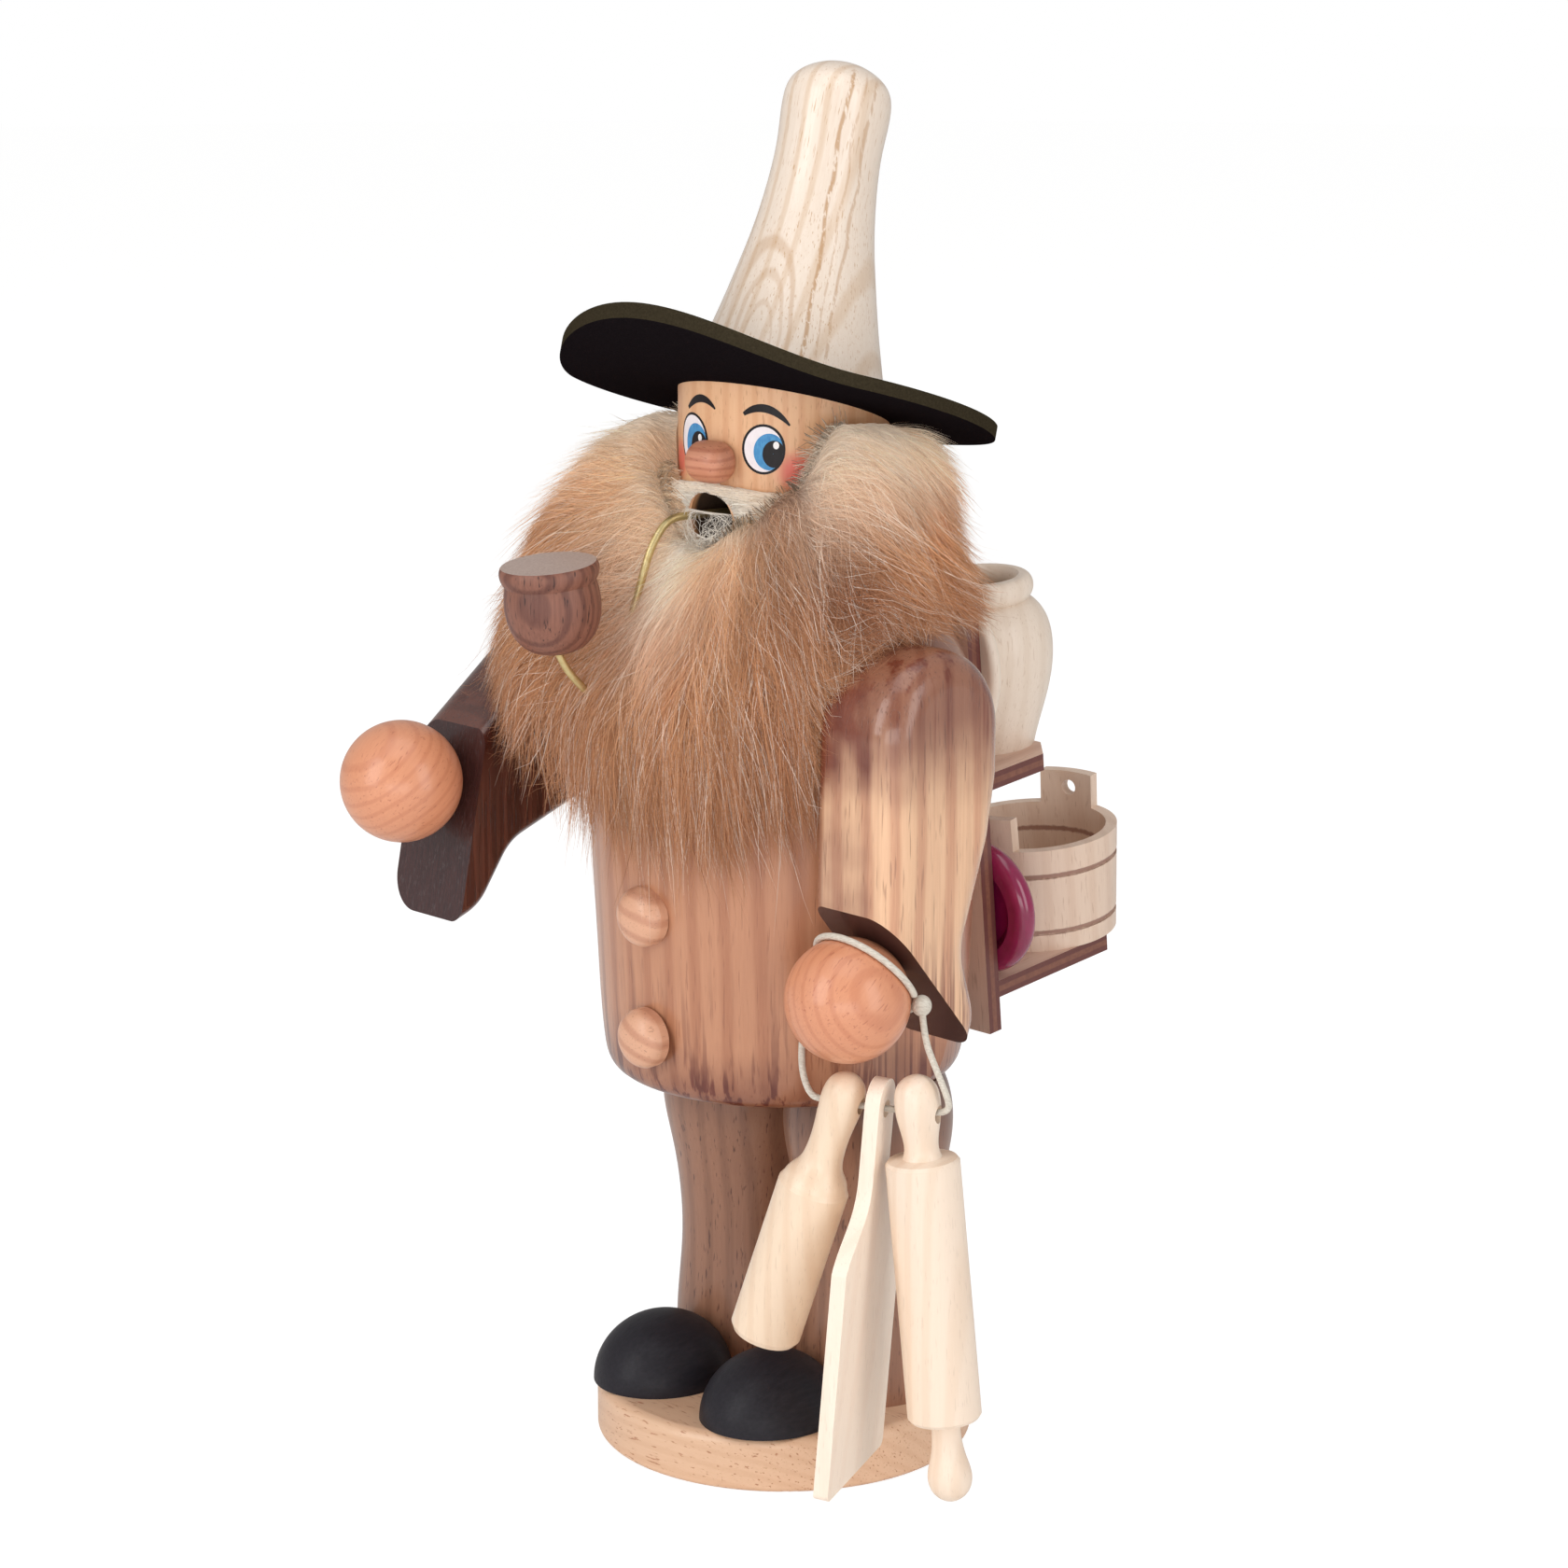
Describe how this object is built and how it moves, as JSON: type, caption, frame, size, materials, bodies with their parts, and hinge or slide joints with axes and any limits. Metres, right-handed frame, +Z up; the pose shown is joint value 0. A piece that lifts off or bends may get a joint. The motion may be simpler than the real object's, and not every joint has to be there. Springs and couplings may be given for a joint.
{
  "type": "incense smoker figure",
  "caption": "Turned wooden incense smoker: a bearded woodware seller with pipe, tall hat, back rack and hanging kitchen tools; the hollow body lifts off a plug with a cone tray.",
  "frame": {"origin": "centre of the base disc's underside", "axes": "+Z up, the figure faces -Y, its own left is +X"},
  "size_m": [0.108, 0.1383, 0.234],
  "materials": {
    "natural_wood": "satin",
    "pale_wood": "satin",
    "stained_wood": "satin",
    "shaded_wood": "satin",
    "skin_wood": "satin",
    "hand_wood": "satin",
    "walnut_wood": "satin",
    "plywood": "satin",
    "blue_black_paint": "matte",
    "magenta_paint": "gloss",
    "felt": "matte",
    "fur": "matte",
    "string": "matte",
    "brass": "polished"
  },
  "bodies": {
    "lower_body": {"base": "natural_wood", "right_leg": "stained_wood", "left_leg": "stained_wood", "right_shoe": "blue_black_paint", "left_shoe": "blue_black_paint", "plug": "natural_wood", "incense_tray": "brass", "tray_nail": "brass"},
    "upper_body": {"coat": "shaded_wood", "upper_button": "pale_wood", "lower_button": "pale_wood", "head": "skin_wood", "nose": "skin_wood", "beard": "fur", "hair": "fur", "hat_brim": "felt", "hat_crown": "pale_wood", "pipe_bowl": "walnut_wood", "pipe_stem": "brass", "right_arm": "shaded_wood", "left_arm": "shaded_wood", "right_hand": "hand_wood", "left_hand": "hand_wood", "right_hand_peg": "natural_wood", "left_hand_peg": "natural_wood", "right_shoulder_dowel": "natural_wood", "left_shoulder_dowel": "natural_wood", "back_panel": "plywood", "upper_shelf": "plywood", "lower_shelf": "plywood", "pot": "pale_wood", "bucket": "pale_wood", "large_plate": "pale_wood", "small_plate": "magenta_paint", "wrist_loop": "string", "string_knot": "string", "hanging_string": "string"},
    "masher": {"masher": "pale_wood"},
    "cutting_board": {"cutting_board": "pale_wood"},
    "rolling_pin": {"rolling_pin": "pale_wood"}
  },
  "joints": [
    {"name": "body_lift", "type": "slide", "parent": "lower_body", "child": "upper_body", "axis": [0, 0, 1], "range_m": [0, 0.04]},
    {"name": "masher_swing", "type": "hinge", "parent": "upper_body", "child": "masher", "pos_m": [0.03718, -0.0245, 0.072], "axis": [-0.9135, -0.4067, 0], "range_deg": [-15, 70]},
    {"name": "cutting_board_swing", "type": "hinge", "parent": "upper_body", "child": "cutting_board", "pos_m": [0.04312, -0.02185, 0.072], "axis": [-0.9135, -0.4067, 0], "range_deg": [-2, 70]},
    {"name": "rolling_pin_swing", "type": "hinge", "parent": "upper_body", "child": "rolling_pin", "pos_m": [0.04915, -0.01917, 0.072], "axis": [-0.9135, -0.4067, 0], "range_deg": [-20, 70]}
  ]
}
